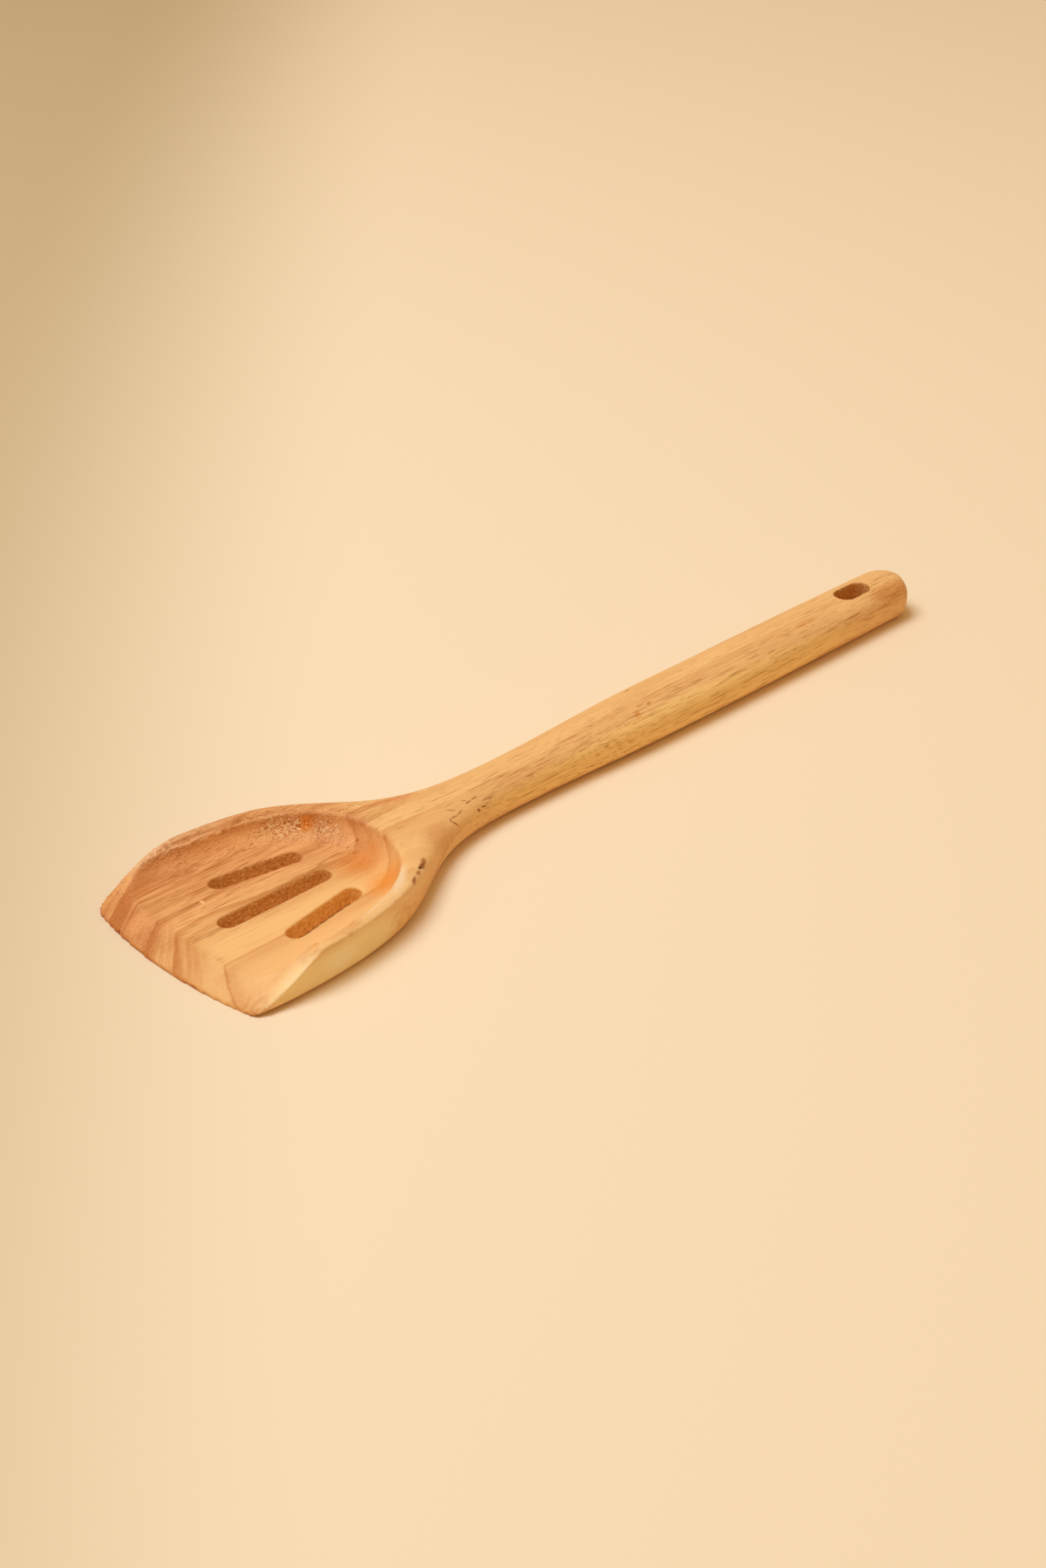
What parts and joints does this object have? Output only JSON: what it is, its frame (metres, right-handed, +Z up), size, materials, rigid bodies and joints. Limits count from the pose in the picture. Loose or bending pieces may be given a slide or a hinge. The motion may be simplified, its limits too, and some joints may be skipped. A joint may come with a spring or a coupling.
{
  "type": "slotted wooden turner",
  "caption": "One-piece wooden turner with a dished, slotted blade, a bevelled bowed front edge and a rounded handle with a hanging hole.",
  "frame": {"origin": "on the table under the middle of the bounding box, on the blade's and handle's centre line", "axes": "+X from the blade's front edge to the end of the handle, +Y across the blade, +Z up out of the dish"},
  "size_m": [0.33, 0.0786, 0.0145],
  "materials": {
    "wood": "smooth sanded wood with a thin coat of oil"
  },
  "bodies": {
    "root": {"turner_body": "wood"}
  },
  "joints": []
}
